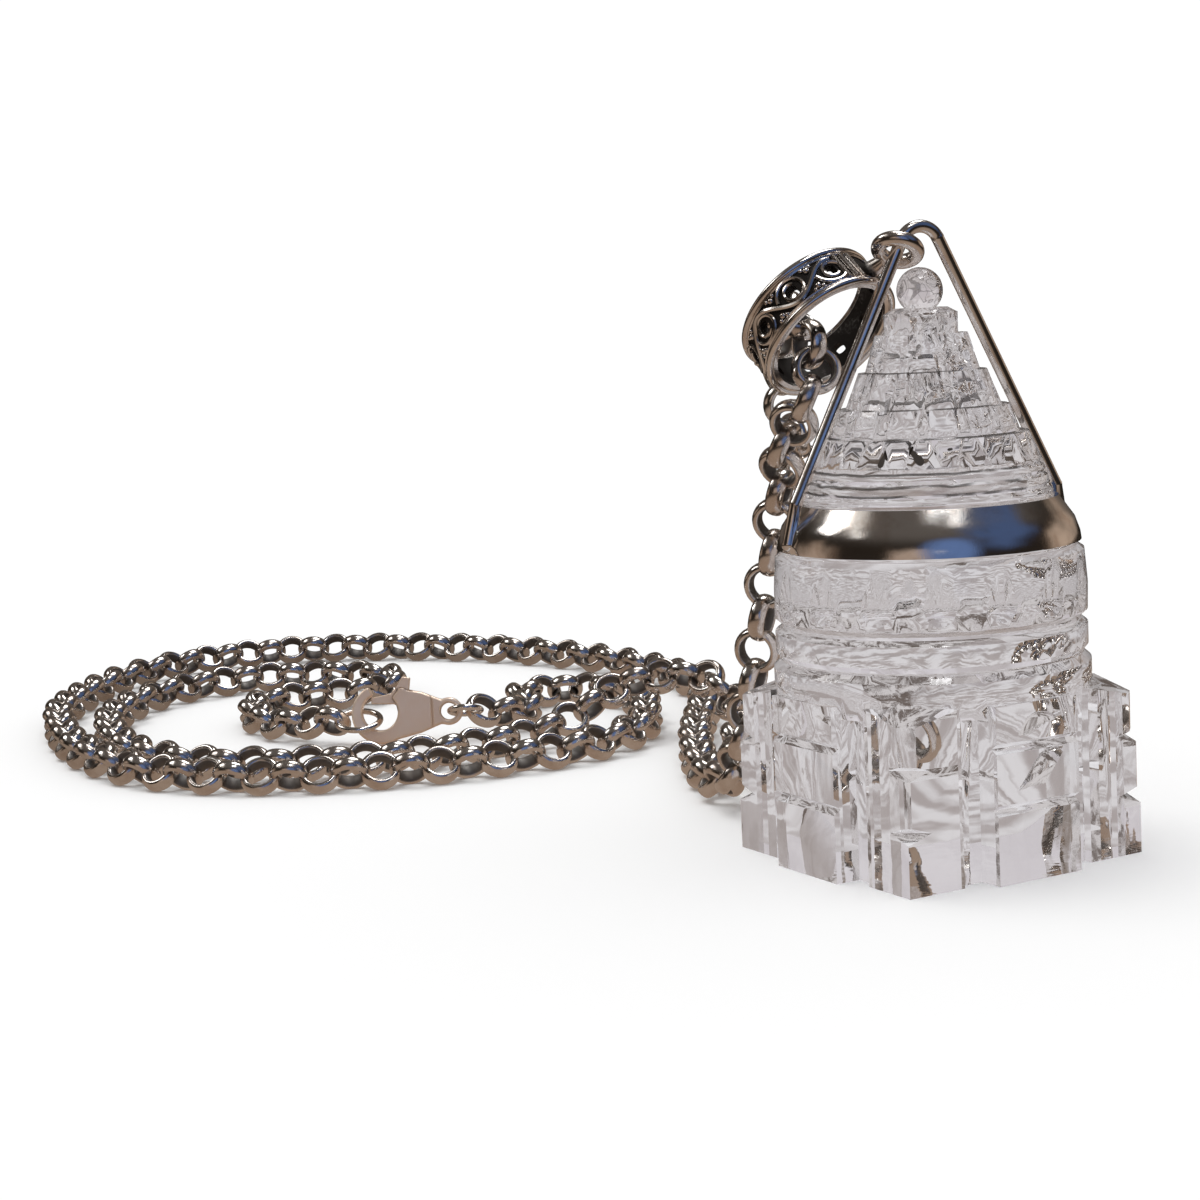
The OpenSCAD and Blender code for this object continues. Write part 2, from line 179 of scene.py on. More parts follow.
crystalPlan = {
    "body": (0.972, 0.972, 0.98, 1),
    "index": 1.544,
    "edge": 0.12 * mm,  # softening of the cut edges
    "shadowTint": (0.86, 0.86, 0.88, 1),
    "waveSize": 330,
    "waveDepth": 0.018 * mm,
    "pitSize": 6500,
    "pitEdge": (0.6, 0.85),
    "pitRough": 0.04,
    "pitHeight": 0.02,  # in wave depths
    "raggedSize": 1600,  # breaks the edges of frost, the dark spots and caught light
    "frost": (0.93, 0.93, 0.94, 1),
    "frostAt": (-0.0030, -0.0112, 0.0213),
    "frostReach": 1.6 * mm,
    "frostEdge": (0.42, 0.56),
    "frostRough": 0.45,
    "ballFoot": 0.0392,  # the surface is crinkled above this height
    "ballTint": (0.88, 0.855, 0.845, 1),
    "crinkleSize": 930,
    "crinkleHeight": 8,  # in wave depths
    "crease": 0.5,  # how dark the painted shade in the creases of the ball is
    "creaseEdge": (0.006, 0.026),
    # the colour of the dark spots and of the painted shade
    "spotsAndPaintedShade": (0.055, 0.042, 0.033, 1),
    "spotsAndShadeRough": 0.6,
    "spotLift": 0.45,
    "spotEdge": (0.35, 0.6),
    "swaySize": 260,  # how the painted shade lines waver and where they break off
    "lineEdge": (0.38, 0.5),
    "lineShare": 0.85,
    # Light that has run round inside the stone: the counts of bounces at which it fades in, and its colours
    "caughtGlossy": (1.9, 3),
    "caughtRay": (8, 10),
    "caughtWaves": 0.6,
    "caughtRagged": 0.4,
    "caughtEdge": (0.44, 0.54),
    "caughtDim": (0.13, 0.105, 0.095, 1),
    "caughtBright": (0.62, 0.59, 0.59, 1),
}
crystalMarks = [  # dark spots in the ends of the cuts and one black flaw, in millimetres: ends and reach
    {"from": (-4.05, -7.0, 29.6), "to": (-3.41, -6.7, 30.9), "reach": 0.5},
    {"from": (-1.41, -7.8, 29.7), "to": (-2.26, -7.1, 31.0), "reach": 0.68},
    {"from": (0.76, -7.6, 30.5), "to": (-0.32, -7.7, 30.3), "reach": 0.46},
    {"from": (-5.85, -5.4, 29.9), "to": (-5.45, -5.35, 30.7), "reach": 0.32},
    {"from": (7.0, -9.4, 18.4), "to": (7.0, -9.4, 18.4), "reach": 0.2},
]
crystalRings = [  # painted shade: dark lines in the turned grooves and at the feet of the tiers, standing in for the dark room seen through them, in millimetres
    {"height": 27.45, "half": 0.16, "wobble": 0.5},
    {"height": 28.1, "half": 0.14, "wobble": 0.7},
    {"height": 28.95, "half": 0.13, "wobble": 0.5},
    {"height": 31.33, "half": 0.07, "wobble": 0.1},
    {"height": 33.33, "half": 0.06, "wobble": 0.1},
    {"height": 35.93, "half": 0.06, "wobble": 0.08},
]


def nearPoint(board, place, point, reach, core):  # 1 within the core's share of the reach, 0 past the reach
    away = board.add("VectorMath", {"operation": "DISTANCE"}, {0: place, 1: point}, "Value")
    return 1 - away.ramp(core * reach, reach)


def markMask(board, place, mark, beads=5, taper=0.4):  # a short stroke, as a row of soft spots
    mask = 0.0
    for share in np.linspace(0, 1, beads):
        point = Vector(mark["from"]).lerp(Vector(mark["to"]), share) * mm
        reach = mark["reach"] * (1 - taper * share) * mm
        mask = mask + nearPoint(board, place, point, reach, core=0.3)
    return mask.ramp(0.2, 0.9)


def ringMask(height, sway, ring, core=0.3):  # a line round the stone that wavers
    off = height * (1 / mm) - ring["height"] + (sway - 0.5) * ring["wobble"]
    return 1 - off.size().ramp(core * ring["half"], ring["half"])


def crystalFinish():
    plan = crystalPlan
    material, board = newFinish("polishedCrystal")
    place = board.add("TexCoord", output="Object")
    height = board.add("SeparateXYZ", {}, {0: place}, "Z")
    waves = board.noise(place, plan["waveSize"], detail=2, roughness=0.5, distortion=0.4)
    pits = board.noise(place, plan["pitSize"], detail=2, roughness=0.6)
    ragged = board.noise(place, plan["raggedSize"], detail=5, roughness=0.7)
    crinkles = board.noise(place, plan["crinkleSize"], detail=0, roughness=0.5, distortion=1.0)
    sway = board.noise(place, plan["swaySize"], detail=2)
    frost = nearPoint(board, place, plan["frostAt"], plan["frostReach"], core=0.2) * ragged
    frost = frost.ramp(*plan["frostEdge"])
    inBall = height.ramp(plan["ballFoot"], plan["ballFoot"] + mm)

    # The stone itself
    colour = board.mix(frost, plan["body"], plan["frost"])
    colour = board.mix(inBall, colour, plan["ballTint"])
    roughness = pits.ramp(*plan["pitEdge"]) * plan["pitRough"] + frost * plan["frostRough"]
    relief = waves + inBall * crinkles * plan["crinkleHeight"] + pits * plan["pitHeight"]
    glass = board.add("BsdfPrincipled", {}, {
        "Base Color": colour, "Roughness": roughness, "IOR": plan["index"],
        "Transmission Weight": 1.0, "Normal": board.bump(relief, plan["waveDepth"])})

    # Dark spots and a black flaw, with painted shade in the dark lines and in the creases of the ball
    darkSpots = 0.0
    for mark in crystalMarks:
        darkSpots = darkSpots + markMask(board, place, mark)
    # Painted shade: dark lines round the stone where the dark room would show through the grooves
    lines = 0.0
    for ring in crystalRings:
        lines = lines + ringMask(height, sway, ring)
    lines = lines * sway.ramp(*plan["lineEdge"]) * plan["lineShare"]
    # Painted shade in the creases of the ball
    creases = inBall * (1 - (crinkles - 0.5).size().ramp(*plan["creaseEdge"])) * plan["crease"]
    # Dark spots, and painted shade from the lines and the creases, mixed in as one dark matt surface
    spotsAndPaintedShade = (darkSpots * (ragged + plan["spotLift"])).ramp(*plan["spotEdge"]) + lines + creases
    spotsAndShadeSurface = board.add("BsdfPrincipled", {}, {"Base Color": plan["spotsAndPaintedShade"], "Roughness": plan["spotsAndShadeRough"]})
    glass = board.add("MixShader", {}, {0: spotsAndPaintedShade, 1: glass, 2: spotsAndShadeSurface})

    # Rays with too many bounces would end black inside the stone, and see a soft glow instead
    caught = board.add("LightPath", output="Glossy Depth").ramp(*plan["caughtGlossy"])
    caught = caught + board.add("LightPath", output="Ray Depth").ramp(*plan["caughtRay"])
    flicker = (waves * plan["caughtWaves"] + ragged * plan["caughtRagged"]).ramp(*plan["caughtEdge"])
    glow = board.add("BsdfPrincipled", {}, {
        "Base Color": grey(0), "Roughness": 1.0, "Specular IOR Level": 0.0, "Emission Strength": 1.0,
        "Emission Color": board.mix(flicker, plan["caughtDim"], plan["caughtBright"])})
    glass = board.add("MixShader", {}, {0: caught, 1: glass, 2: glow})

    # The stone lets most of the light through to the floor
    clear = board.add("BsdfTransparent", {}, {"Color": plan["shadowTint"]})
    shadowRay = board.add("LightPath", output="Is Shadow Ray")
    shader = board.add("MixShader", {}, {0: shadowRay, 1: glass, 2: clear})
    board.add("OutputMaterial", {}, {"Surface": shader})
    return material


def addPiece(name, mesh, body, material, node):
    piece = bpy.data.objects.new(name, mesh)
    bpy.context.scene.collection.objects.link(piece)
    mesh.materials.append(material)
    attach(piece, body)
    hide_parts(node)
    return piece


meshPlan = {
    "joinWithin": 0.0005 * mm,
    "flatWithin": math.radians(0.4),
}


def mergedCopy(node, flats=False):  # the node's triangles joined into closed shells, with flats made whole
    bm = bmesh.new()
    bm.from_mesh(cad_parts[node].data)
    bmesh.ops.remove_doubles(bm, verts=bm.verts, dist=meshPlan["joinWithin"])
    if flats:
        bmesh.ops.dissolve_limit(bm, angle_limit=meshPlan["flatWithin"], verts=bm.verts, edges=bm.edges)
    return bm


def finishMesh(bm, name, sharp=35):
    mesh = bpy.data.meshes.new(name)
    bm.to_mesh(mesh)
    bm.free()
    mesh.shade_smooth()
    mesh.set_sharp_from_angle(angle=math.radians(sharp))
    return mesh


def softenEdges(piece, width, segments, sharp=30, clamp=False):
    bevel = piece.modifiers.new("softEdges", "BEVEL")
    bevel.width = width
    bevel.segments = segments
    bevel.limit_method = "ANGLE"
    bevel.angle_limit = math.radians(sharp)
    bevel.use_clamp_overlap = clamp
    bevel.harden_normals = True


def frameOf(middle, along, upward):  # a place whose Z runs along and whose X leans to upward
    z = Vector(along).normalized()
    x = Vector(upward)
    x = (x - x.dot(z) * z).normalized()
    y = z.cross(x)
    turned = Matrix((x, y, z)).transposed().to_4x4()
    return Matrix.Translation(middle) @ turned


def addTube(bm, points, radius):  # a round wire through the points
    curve = bpy.data.curves.new("wire", "CURVE")
    curve.dimensions = "3D"
    curve.bevel_depth = radius
    curve.bevel_resolution = 2
    curve.use_fill_caps = True
    spline = curve.splines.new("POLY")
    spline.points.add(len(points) - 1)
    for knot, point in zip(spline.points, points):
        knot.co = (*point, 1)
    wire = bpy.data.objects.new("wire", curve)
    mesh = bpy.data.meshes.new_from_object(wire)
    bm.from_mesh(mesh)
    bpy.data.objects.remove(wire)
    bpy.data.curves.remove(curve)
    bpy.data.meshes.remove(mesh)


def addRing(bm, place, radius, wire, steps, sides):  # a torus about the place's Z
    old = set(bm.verts)
    made = bmesh.ops.create_circle(bm, segments=sides, radius=wire)["verts"]
    bmesh.ops.rotate(bm, verts=made, matrix=Matrix.Rotation(math.radians(90), 3, "X"))
    bmesh.ops.translate(bm, verts=made, vec=(radius, 0, 0))
    edges = list({edge for vert in made for edge in vert.link_edges})
    bmesh.ops.spin(bm, geom=made + edges, cent=(0, 0, 0), axis=(0, 0, 1),
                   angle=2 * math.pi, steps=steps, use_merge=True)
    bmesh.ops.transform(bm, matrix=place, verts=[vert for vert in bm.verts if vert not in old])


def addBead(bm, point, radius):
    bmesh.ops.create_icosphere(bm, subdivisions=2, radius=radius, matrix=Matrix.Translation(point))


linkPlan = {
    "outer": 1.975 * mm,
    "wall": 0.78 * mm,
    "width": 1.6 * mm,
    "section": [(0, 0.5), (0.35, 1.0), (0.9, 0.62), (1.0, 0)],  # shares of the wall and of half the width
    "steps": 16,
    "start": (0.31, 0.52, 0.79),  # what a link leans to before it is turned
    "turn": 6.28,  # radians about its own axis, at most
    "sway": math.radians(2.0),
    "sootTo": 0.45,  # share of the wall, from inside, that stays dark
}


def ringPlaces(node):  # the middle and the axis of each closed ring of a node
    bm = mergedCopy(node)
    places = []
    unseen = set(bm.verts)
    while unseen:
        stack = [unseen.pop()]
        ring = [stack[0]]
        while stack:
            for edge in stack.pop().link_edges:
                for vert in edge.verts:
                    if vert in unseen:
                        unseen.remove(vert)
                        stack.append(vert)
                        ring.append(vert)
        cloud = np.array([vert.co for vert in ring])
        middle = cloud.mean(0)
        spread = np.linalg.eigh(np.cov((cloud - middle).T))[1]
        places.append((Vector(middle), Vector(spread[:, 0])))
    bm.free()
    places.sort(key=lambda place: tuple(place[0]))
    return places


def linkShape():  # one link about the Z axis: thin inside, domed outside
    plan = linkPlan
    half = plan["width"] / 2
    rIn = plan["outer"] - plan["wall"]
    upper = [(rIn + across * plan["wall"], up * half) for across, up in plan["section"]]
    lower = [(r, -z) for r, z in upper[:-1]]
    bm = bmesh.new()
    knots = [bm.verts.new((r, 0, z)) for r, z in lower + upper[::-1]]
    rim = [bm.edges.new(pair) for pair in zip(knots, knots[1:] + knots[:1])]
    bmesh.ops.spin(bm, geom=knots + rim, cent=(0, 0, 0), axis=(0, 0, 1), angle=2 * math.pi,
                   steps=plan["steps"], use_merge=True)
    bmesh.ops.recalc_face_normals(bm, faces=bm.faces)
    mesh = bpy.data.meshes.new("link")
    bm.to_mesh(mesh)
    bm.free()
    return mesh


def makeChain(node, name, material, link, dice):
    plan = linkPlan
    rIn = plan["outer"] - plan["wall"]
    bm = bmesh.new()
    hollow = bm.verts.layers.float.new("hollow")
    for middle, axis in ringPlaces(node):
        start = len(bm.verts)
        bm.from_mesh(link)
        bm.verts.ensure_lookup_table()
        for vert in bm.verts[start:]:
            depth = (math.hypot(vert.co.x, vert.co.y) - rIn) / plan["wall"]
            vert[hollow] = max(0.0, 1.0 - depth / plan["sootTo"])
        place = frameOf(middle, axis, plan["start"])
        place = place @ Matrix.Rotation(dice.uniform(0, plan["turn"]), 4, "Z")
        place = place @ Matrix.Rotation(dice.uniform(-plan["sway"], plan["sway"]), 4, "X")
        bmesh.ops.transform(bm, matrix=place, verts=bm.verts[start:])
    mesh = bpy.data.meshes.new(name)
    bm.to_mesh(mesh)
    bm.free()
    mesh.shade_smooth()
    piece = addPiece(name, mesh, "pendant", material, node)
    smooth = piece.modifiers.new("roundLinks", "SUBSURF")
    smooth.levels = smooth.render_levels = 1
    print(name, len(mesh.polygons), "faces")


bailPlan = {
    "middle": Vector((-7.2, 2.7, 39.75)) * mm,
    "axis": Vector((0.47, -0.59, -0.655)),
    "hang": Vector((-1.572, -0.511, 44.75)) * mm,  # middle of the ring on the wire
    "outer": 5.35 * mm,
    "wall": 0.62 * mm,
    "width": 3.5 * mm,
    "columns": 200,
    "rows": 20,
    "rim": 0.3 * mm,
    "rimInset": 0.1 * mm,
    "thread": 0.11 * mm,  # fine ridge inside each rim
    "threadInset": 0.5 * mm,
    "threadProud": 0.04 * mm,
    "units": 10,  # the neck's place and nine scrolls, each with a hole
    "hole": 0.42 * mm,
    "wireProud": 0.07 * mm,
    "stem": 0.2 * mm,
    "stemSwing": 0.98 * mm,
    "stemStart": 0.9,  # in units from the neck
    "curl": 0.15 * mm,
    "curlFrom": 1.42 * mm,
    "curlTo": 0.55 * mm,
    "curlPace": 0.7,
    "curlTurns": 1.35,
    "curlSquash": 0.12,
    "curlShift": 0.1 * mm,
    "beads": [(0, 0.82, 0.25), (0.34, 1.04, 0.175), (-0.34, 1.04, 0.175)],  # across, up, radius in mm
    "beadProud": 0.03 * mm,
    "bars": (-27, -20, -13, 13, 20, 27),  # degrees round the band from the neck
    "barKnots": (-0.68, -0.3, 0.3, 0.68),  # shares of half the width
    "barWire": 0.21 * mm,
    "neckFoot": 0.8 * mm,
    "neckTop": 0.52 * mm,
    "neckSunk": 0.2 * mm,
    "neckShift": 0.4,  # how far the foot follows the ring along the band's axis
    "eye": 1.4 * mm,
    "eyeWire": 0.56 * mm,
    "eyeAxis": Vector((0.22, 0.55, 0.8)),
    # Where rubbing keeps the metal bright, and what stays dark
    "brightRim": 0.22 * mm,
    "brightEye": 2.1 * mm,
    "sootHeight": 0.16 * mm,
    "insideDepth": 0.4 * mm,
    "insideSoot": 0.78,
}


def stemPath(step, plan, steps=150):  # a stem that runs from rim to rim, as angle and height
    first, last = plan["stemStart"] * step, (plan["units"] - plan["stemStart"]) * step
    return [(angle, plan["stemSwing"] * math.cos(math.pi * angle / step))
            for angle in np.linspace(first, last, steps)]


def curlPath(side, plan, steps=36):  # a curl that leaves the stem and closes round a hole
    points = []
    for share in np.linspace(0, 1, steps):
        radius = plan["curlFrom"] + (plan["curlTo"] - plan["curlFrom"]) * share ** plan["curlPace"]
        turned = -side * 2 * math.pi * plan["curlTurns"] * share
        squash = 1 - plan["curlSquash"] * (1 - share)
        points.append((radius * math.cos(turned), radius * math.sin(turned) * squash))
    return points


def onBand(place, radius, angle, across, up):  # a point at that radius about the band's axis
    turned = angle + across / radius
    return place @ Vector((radius * math.cos(turned), radius * math.sin(turned), up))


def inHole(point, step, plan):
    angle = math.atan2(point.y, point.x) % (2 * math.pi)
    return any(math.hypot((angle - i * step) * plan["outer"], point.z) < plan["hole"]
               for i in range(1, plan["units"]))


def bendBand(bm, step, plan):  # the ground: a fine sheet bent round, pierced between the scrolls
    half = plan["width"] / 2
    rows = plan["rows"]
    corners = [bm.verts.new((plan["outer"], 0, -half + 2 * half * i / rows)) for i in range(rows + 1)]
    line = [bm.edges.new(pair) for pair in zip(corners, corners[1:])]
    bmesh.ops.spin(bm, geom=corners + line, cent=(0, 0, 0), axis=(0, 0, 1), angle=2 * math.pi,
                   steps=plan["columns"], use_merge=True)
    opened = [face for face in bm.faces if inHole(face.calc_center_median(), step, plan)]
    bmesh.ops.delete(bm, geom=opened, context="FACES")
    holeRims = [vert for vert in bm.verts if vert.is_boundary and abs(vert.co.z) < 0.9 * half]
    for _ in range(3):
        bmesh.ops.smooth_vert(bm, verts=holeRims, factor=0.5,
                              use_axis_x=True, use_axis_y=True, use_axis_z=True)
    bmesh.ops.recalc_face_normals(bm, faces=bm.faces)
    bmesh.ops.solidify(bm, geom=bm.faces, thickness=plan["wall"])


def layRelief(bm, place, step, plan):  # rims and ridges, the running stem, its curls, beads and bars
    half = plan["width"] / 2
    proud = plan["outer"] + plan["wireProud"]
    beadProud = plan["outer"] + plan["beadProud"]
    for side in (-1, 1):
        rimPlace = place @ Matrix.Translation((0, 0, side * (half - plan["rimInset"])))
        threadPlace = place @ Matrix.Translation((0, 0, side * (half - plan["threadInset"])))
        addRing(bm, rimPlace, plan["outer"], plan["rim"], steps=96, sides=12)
        addRing(bm, threadPlace, plan["outer"] + plan["threadProud"], plan["thread"], steps=96, sides=8)
    stem = [onBand(place, proud, angle, 0, up) for angle, up in stemPath(step, plan)]
    addTube(bm, stem, plan["stem"])
    for i in range(1, plan["units"]):
        side = 1 if i % 2 == 0 else -1
        curl = [onBand(place, proud, i * step, across, up - side * plan["curlShift"])
                for across, up in curlPath(side, plan)]
        addTube(bm, curl, plan["curl"])
    for i in range(1, plan["units"] - 1):
        for side in (-1, 1):
            for across, up, radius in plan["beads"]:
                point = onBand(place, beadProud, (i + 0.5) * step, across * mm, side * up * mm)
                addBead(bm, point, radius * mm)
    for degrees in plan["bars"]:
        bar = [onBand(place, proud, math.radians(degrees), 0, share * half) for share in plan["barKnots"]]
        addTube(bm, bar, plan["barWire"])


def addNeck(bm, place, plan):  # the neck and the ring on the wire
    reach = plan["hang"] - plan["middle"]
    axis = plan["axis"].normalized()
    foot = plan["middle"] + (place.to_3x3() @ Vector((plan["outer"] - plan["neckSunk"], 0, 0)))
    foot = foot + plan["neckShift"] * reach.dot(axis) * axis
    span = plan["hang"] - foot
    neckPlace = frameOf(foot + span * 0.5 * (1 - plan["eye"] / span.length), span, (0, 0, 1))
    bmesh.ops.create_cone(bm, cap_ends=True, segments=24, radius1=plan["neckFoot"], radius2=plan["neckTop"],
                          depth=span.length - plan["eye"], matrix=neckPlace)
    eyePlace = frameOf(plan["hang"], plan["eyeAxis"], (0, 1, 0))
    addRing(bm, eyePlace, plan["eye"], plan["eyeWire"], steps=64, sides=20)


def markHollows(bm, place, plan):  # the attribute that the soot follows
    half = plan["width"] / 2
    back = place.inverted()
    hollow = bm.verts.layers.float.new("hollow")
    for vert in bm.verts:
        local = back @ vert.co
        height = math.hypot(local.x, local.y) - plan["outer"]
        onRim = abs(local.z) > half - plan["brightRim"]
        nearEye = (vert.co - plan["hang"]).length < plan["brightEye"]
        if onRim or nearEye:
            vert[hollow] = 0.0
        elif height < -plan["insideDepth"]:
            vert[hollow] = plan["insideSoot"]
        else:
            vert[hollow] = max(0.0, min(1.0, 1.0 - height / plan["sootHeight"]))


def makeBail(material):
    plan = bailPlan
    step = 2 * math.pi / plan["units"]
    place = frameOf(plan["middle"], plan["axis"], plan["hang"] - plan["middle"])
    bm = bmesh.new()
    bendBand(bm, step, plan)
    bmesh.ops.transform(bm, matrix=place, verts=bm.verts)
    layRelief(bm, place, step, plan)
    addNeck(bm, place, plan)
    markHollows(bm, place, plan)
    mesh = finishMesh(bm, "bailFiligree", sharp=40)
    addPiece("bail_filigree", mesh, "swinging_bail", material, "bail")
    print("bail", len(mesh.polygons), "faces")


def makeCrystal(material):
    mesh = finishMesh(mergedCopy("crystal_meru", flats=True), "crystalMeru", sharp=24)
    piece = addPiece("crystal_polished", mesh, "pendant", material, "crystal_meru")
    softenEdges(piece, crystalPlan["edge"], segments=2, sharp=27, clamp=True)
    print("crystal", len(mesh.polygons), "faces")


def makeHarness(material):
    mesh = finishMesh(mergedCopy("silver_harness"), "harnessSmooth")
    addPiece("harness_soldered", mesh, "pendant", material, "silver_harness")
    print("harness", len(mesh.polygons), "faces")


fittingPlan = {  # softening of the edges; the rings are round already
    "bodyEdge": 0.25 * mm,
    "leverEdge": 0.12 * mm,
}


def makeFitting(node, body, material, width=0):
    mesh = finishMesh(mergedCopy(node, flats=True), node + "Smooth")
    piece = addPiece(node + "_polished", mesh, body, material, node)
    if width:
        softenEdges(piece, width, segments=3)
    print(node, len(mesh.polygons), "faces")


roomPlan = {
    "dark": (0.020, 0.0155, 0.012, 1),
    "ceiling": (0.10, 0.088, 0.08, 1),
    "ceilingRise": (0.35, 0.8),
    "lilac": (0.60, 0.565, 0.59, 1),
    "sky": (0.80, 0.79, 0.81, 1),
    "skyRise": (0.1, 0.75),
    # In each patch: direction, inner and outer reach in degrees, colour
    "metalSees": [
        {"towards": (0.1, 1, 0.1), "reach": (15, 60), "colour": (0.11, 0.09, 0.076, 1)},
        {"towards": (0.85, 0.5, 0.0), "reach": (8, 30), "colour": (0.46, 0.35, 0.27, 1)},
        {"towards": (-1, 0.25, -0.1), "reach": (8, 30), "colour": (0.36, 0.27, 0.21, 1)},
        {"towards": (-0.3, -1, 0.1), "reach": (10, 22), "colour": (0.40, 0.31, 0.25, 1)},
        {"towards": (0.62, -0.35, 0.6), "reach": (12, 32), "colour": (0.06, 0.095, 0.20, 1)},
        {"towards": (0.17, -0.95, 0.31), "reach": (11, 26), "colour": (0.11, 0.18, 0.38, 1), "smooth": True},
        {"towards": (0.02, -0.95, 0.31), "reach": (0.5, 2), "colour": (1.0, 1.0, 1.05, 1), "smooth": True},
        {"towards": (0.22, -0.27, 0.95), "reach": (5, 12), "colour": (1.5, 1.5, 1.5, 1)},
        {"towards": (-0.95, -0.1, 1.0), "reach": (1, 4), "colour": (0.8, 0.78, 0.75, 1)},
    ],
    "crystalSees": [
        {"towards": (0, -1, 0.1), "reach": (15, 70), "colour": (0.50, 0.46, 0.465, 1)},
        {"towards": (0.9, -0.2, 0.15), "reach": (5, 25), "colour": (0.36, 0.32, 0.31, 1)},
        {"towards": (0.1, -1, 0.25), "reach": (3, 8), "colour": (0.27, 0.235, 0.215, 1)},
        {"towards": (0.95, 0.3, 0.2), "reach": (2, 6), "colour": (0.16, 0.13, 0.115, 1)},
        {"towards": (-0.9, 0.4, 0.3), "reach": (2, 6), "colour": (0.22, 0.18, 0.155, 1)},
        {"towards": (-0.7, -0.6, 0.5), "reach": (2, 5), "colour": (0.16, 0.22, 0.36, 1)},
        {"towards": (0.2, -0.5, 0.9), "reach": (3, 7), "colour": (0.25, 0.21, 0.19, 1)},
    ],
    "raggedSize": 3.5,  # metal's patches have ragged edges, but for the smooth ones
    "raggedReach": 0.22,
    "mottleSize": 3.2,  # light and dark parts of what shows through the crystal
    "mottle": 0.45,
    "mottleBright": (0.90, 0.88, 0.89, 1),
    "mottleBrightEdge": (0.5, 0.62),
    "mottleDim": (0.32, 0.275, 0.255, 1),
    "mottleDimEdge": (0.54, 0.62),
    "ambient": 0.82,
    "backdrop": 1.05,
}


def patch(board, way, spot):  # a soft round patch of the room's walls
    towards = Vector(spot["towards"]).normalized()
    inner, outer = (math.cos(math.radians(angle)) for angle in spot["reach"])
    facing = board.add("VectorMath", {"operation": "DOT_PRODUCT"}, {0: way, 1: towards}, "Value")
    return facing.ramp(outer, inner)


def makeRoom():
    plan = roomPlan
    world = bpy.data.worlds.new("softRoom")
    bpy.context.scene.world = world
    world.use_nodes = True
    world.cycles.sampling_method = "NONE"
    board = NodeBoard(world.node_tree)
    way = board.add("TexCoord", output="Generated")
    height = board.add("SeparateXYZ", {}, {0: way}, "Z")

    # What polished metal reflects: a dark brown room with tan walls, blue windows and pale lights
    walls = board.mix(height.ramp(*plan["ceilingRise"]), plan["dark"], plan["ceiling"])
    ragged = board.add("TexNoise", {}, {"Vector": way, "Scale": plan["raggedSize"], "Detail": 3.0}, 1)
    ragged = board.add("VectorMath", {"operation": "SUBTRACT"}, {0: ragged, 1: (0.5, 0.5, 0.5)})
    bent = board.add("VectorMath", {"operation": "MULTIPLY_ADD"}, {
        0: ragged, 1: (plan["raggedReach"],) * 3, 2: way})
    for spot in plan["metalSees"]:
        look = way if "smooth" in spot else bent
        walls = board.mix(patch(board, look, spot), walls, spot["colour"])

    # What shows through the crystal: a pale lilac surround, darker on the viewer's side, with dim spots
    through = board.mix(height.ramp(*plan["skyRise"]), plan["lilac"], plan["sky"])
    mottle = board.noise(way, plan["mottleSize"], detail=2)
    bright = mottle.ramp(*plan["mottleBrightEdge"]) * plan["mottle"]
    dim = (1 - mottle).ramp(*plan["mottleDimEdge"]) * plan["mottle"]
    through = board.mix(bright, through, plan["mottleBright"])
    through = board.mix(dim, through, plan["mottleDim"])
    for spot in plan["crystalSees"]:
        through = board.mix(patch(board, way, spot), through, spot["colour"])

    seen = board.mix(board.add("LightPath", output="Is Transmission Ray"), walls, through)
    seen = board.mix(board.add("LightPath", output="Is Diffuse Ray"), seen, grey(plan["ambient"]))
    seen = board.mix(board.add("LightPath", output="Is Camera Ray"), seen, grey(plan["backdrop"]))
    background = board.add("Background", {}, {"Color": seen, "Strength": 1.0})
    board.add("OutputWorld", {}, {"Surface": background})


floorPlan = {
    "size": 6.0,
    "drop": 0.02 * mm,
    "paper": 0.9,
    "tan": (0.33, 0.25, 0.195, 1),  # what metal sees of the floor near the pendant; far off it is dark
    "tanEdge": (0.05, 0.2),
    "mottleSize": 160,  # what shows of it through the crystal
    "mottleEdge": (0.4, 0.6),
    "bright": (0.70, 0.68, 0.69, 1),
    "dim": (0.40, 0.36, 0.355, 1),
}


def makeFloor():
    plan = floorPlan
    bm = bmesh.new()
    bmesh.ops.create_grid(bm, x_segments=2, y_segments=2, size=plan["size"])
    mesh = bpy.data.meshes.new("floor")
    bm.to_mesh(mesh)
    bm.free()
    material, board = newFinish("paleTable")
    place = board.add("TexCoord", output="Object")
    mottle = board.noise(place, plan["mottleSize"], detail=2)
    through = board.mix(mottle.ramp(*plan["mottleEdge"]), plan["bright"], plan["dim"])
    away = board.add("VectorMath", {"operation": "LENGTH"}, {0: place}, "Value")
    inMetal = board.mix(away.ramp(*plan["tanEdge"]), plan["tan"], roomPlan["dark"])
    seen = board.mix(board.add("LightPath", output="Is Transmission Ray"), inMetal, through)
    card = board.add("Emission", {}, {"Color": seen, "Strength": 1.0})
    paper = board.add("BsdfDiffuse", {}, {"Color": grey(plan["paper"])})
    cameraRay = board.add("LightPath", output="Is Camera Ray")
    shader = board.add("MixShader", {}, {0: cameraRay, 1: card, 2: paper})
    board.add("OutputMaterial", {}, {"Surface": shader})
    mesh.materials.append(material)
    floor = bpy.data.objects.new("floor", mesh)
    floor.location.z = -plan["drop"]
    bpy.context.scene.collection.objects.link(floor)


lightPlan = {
    "softBoxes": [
        # Place and side in metres, watts, tint
        {"place": (-0.52, 0.16, 0.48), "side": 0.20, "watts": 0.5, "tint": (1, 0.985, 0.97)},
        {"place": (0.04, -0.20, 0.60), "side": 0.10, "watts": 0.28, "tint": (0.97, 0.985, 1)},
        {"place": (0.10, 0.25, 0.60), "side": 0.26, "watts": 1.4, "tint": (1, 1, 1)},
    ],
    "softBoxAim": (0, 0.02, 0.01),
    "sunFrom": (-0.36, 0.22, 1.0),
    "sunStrength": 1.08,
    "sunSpread": math.radians(36),
}


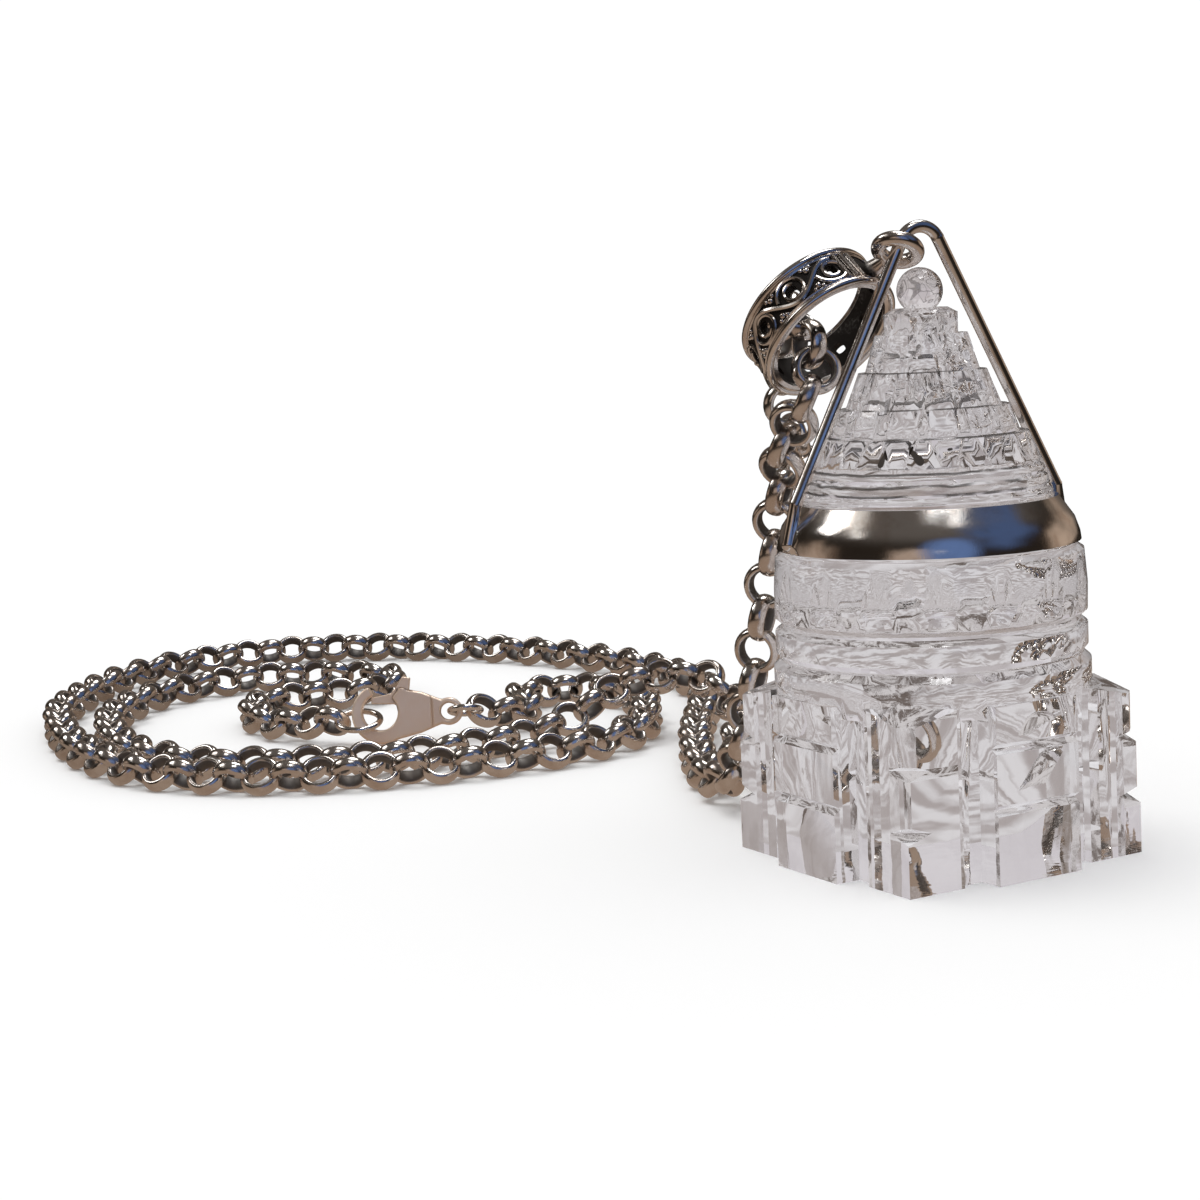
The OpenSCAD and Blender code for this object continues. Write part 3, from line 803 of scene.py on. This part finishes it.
def addLight(name, kind, place, aim):
    data = bpy.data.lights.new(name, kind)
    light = bpy.data.objects.new(name, data)
    light.location = place
    light.rotation_euler = (Vector(aim) - Vector(place)).to_track_quat("-Z", "Y").to_euler()
    light.visible_camera = False
    light.visible_transmission = False
    bpy.context.scene.collection.objects.link(light)
    return light, data


def makeLights():
    plan = lightPlan
    for i, box in enumerate(plan["softBoxes"]):  # seen only as glints
        light, data = addLight("softBox%d" % i, "AREA", box["place"], plan["softBoxAim"])
        data.size = box["side"]
        data.energy = box["watts"]
        data.color = box["tint"]
        light.visible_diffuse = False
    light, data = addLight("skylight", "SUN", plan["sunFrom"], (0, 0, 0))  # makes the soft shadow
    data.energy = plan["sunStrength"]
    data.angle = plan["sunSpread"]
    light.visible_glossy = False


cameraPlan = {
    "lens": 72.0,
    "sensor": 36.0,
    "place": Vector((-24.44, -176.6, 42.6)) * mm,
    "pitch": 0.1264,  # radians
    "roll": -0.0498,
}


def makeCamera():
    plan = cameraPlan
    data = bpy.data.cameras.new("camera")
    data.lens = plan["lens"]
    data.sensor_width = plan["sensor"]
    data.clip_start = mm
    camera = bpy.data.objects.new("camera", data)
    bpy.context.scene.collection.objects.link(camera)
    level = Matrix.Rotation(math.radians(90) - plan["pitch"], 4, "X")
    camera.matrix_world = Matrix.Translation(plan["place"]) @ level @ Matrix.Rotation(plan["roll"], 4, "Z")
    bpy.context.scene.camera = camera


print("room")
makeCamera()
makeRoom()
makeFloor()
makeLights()
bpy.context.scene.view_settings.view_transform = "Standard"

print("finishes")
brightSilver = silverFinish("brightSilver")
claspSilver = silverFinish("claspSilver", dull=1.8, clean=silverPlan["warm"], worn=silverPlan["warmWorn"],
                           metallic=0.6)
chainSilver = silverFinish("chainSilver", dull=0.35, sooty=0.8)
sootySilver = silverFinish("oxidisedSilver", dull=0.1, sooty=1.0)
clearCrystal = crystalFinish()

print("pieces")
makeCrystal(clearCrystal)
makeHarness(brightSilver)
makeBail(sootySilver)
dice = random.Random(7)
link = linkShape()
makeChain("chain_outer", "chain_outer_links", chainSilver, link, dice)
makeChain("chain_inner", "chain_inner_links", chainSilver, link, dice)
makeFitting("clasp_body", "pendant", claspSilver, fittingPlan["bodyEdge"])
makeFitting("clasp_lever", "lever", claspSilver, fittingPlan["leverEdge"])
makeFitting("clasp_ring", "pendant", brightSilver)
makeFitting("end_ring", "pendant", brightSilver)
